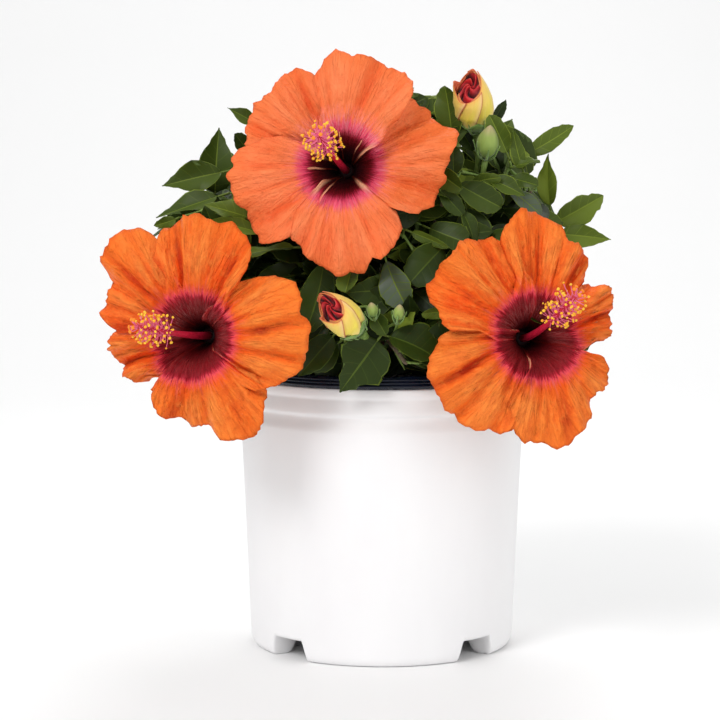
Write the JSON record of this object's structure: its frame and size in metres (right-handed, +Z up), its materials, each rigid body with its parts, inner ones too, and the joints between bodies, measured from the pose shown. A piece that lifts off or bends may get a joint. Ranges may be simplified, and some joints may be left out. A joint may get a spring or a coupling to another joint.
{
  "type": "potted hibiscus shrub",
  "caption": "Tropical hibiscus with large open orange blooms, buds and leafy boughs, in a plain round nursery pot filled with potting mix.",
  "frame": {"origin": "on the ground, under the middle of the whole plant's box; the pot's axis stands 13.3 mm to the +X side and 3.9 mm to the +Y side of it", "axes": "+Z up; -Y is the front, where the open blooms face; +X is to the right as seen from the front"},
  "size_m": [0.2922, 0.2472, 0.344],
  "materials": {
    "pot_plastic": "white blow-moulded polyethylene with a soft sheen",
    "rim_plastic": "very dark blue-black moulded lip",
    "potting_mix": "moist crumbled bark and peat",
    "bark": "grey-brown young bark with fine ridges",
    "greenwood": "green stalk and calyx, slightly downy",
    "leaf": "glossy dark green leaf with a pale edge",
    "petal": "orange petal, crimson and pink towards the throat",
    "column": "red staminal column with yellow anthers",
    "bud": "pale yellow furled petals with thin red edges",
    "heart": "deep red inner petals, folded"
  },
  "bodies": {
    "root": {"pot_wall": "pot_plastic", "pot_rim": "rim_plastic", "potting_soil": "potting_mix", "main_stem": "bark", "bough_left_low": "bark", "bough_right_low": "bark", "bough_back_left": "bark", "bough_back_right": "bark", "bough_front_low": "bark", "bough_left_high": "bark", "bough_right_high": "bark", "bough_back_high": "bark", "bough_front_high": "bark", "bough_top": "bark", "bloom_top_petals": "petal", "bloom_top_column": "column", "bloom_top_stalk": "greenwood", "bloom_left_petals": "petal", "bloom_left_column": "column", "bloom_left_stalk": "greenwood", "bloom_right_petals": "petal", "bloom_right_column": "column", "bloom_right_stalk": "greenwood", "bud_high_petals": "bud", "bud_high_heart": "heart", "bud_high_stalk": "greenwood", "bud_low_petals": "bud", "bud_low_heart": "heart", "bud_low_stalk": "greenwood", "bud_green_petals": "greenwood", "bud_green_stalk": "greenwood", "foliage_left_low": "leaf", "foliage_right_low": "leaf", "foliage_back_left": "leaf", "foliage_back_right": "leaf", "foliage_front_low": "leaf", "foliage_left_high": "leaf", "foliage_right_high": "leaf", "foliage_back_high": "leaf", "foliage_front_high": "leaf", "foliage_top": "leaf"}
  },
  "joints": []
}
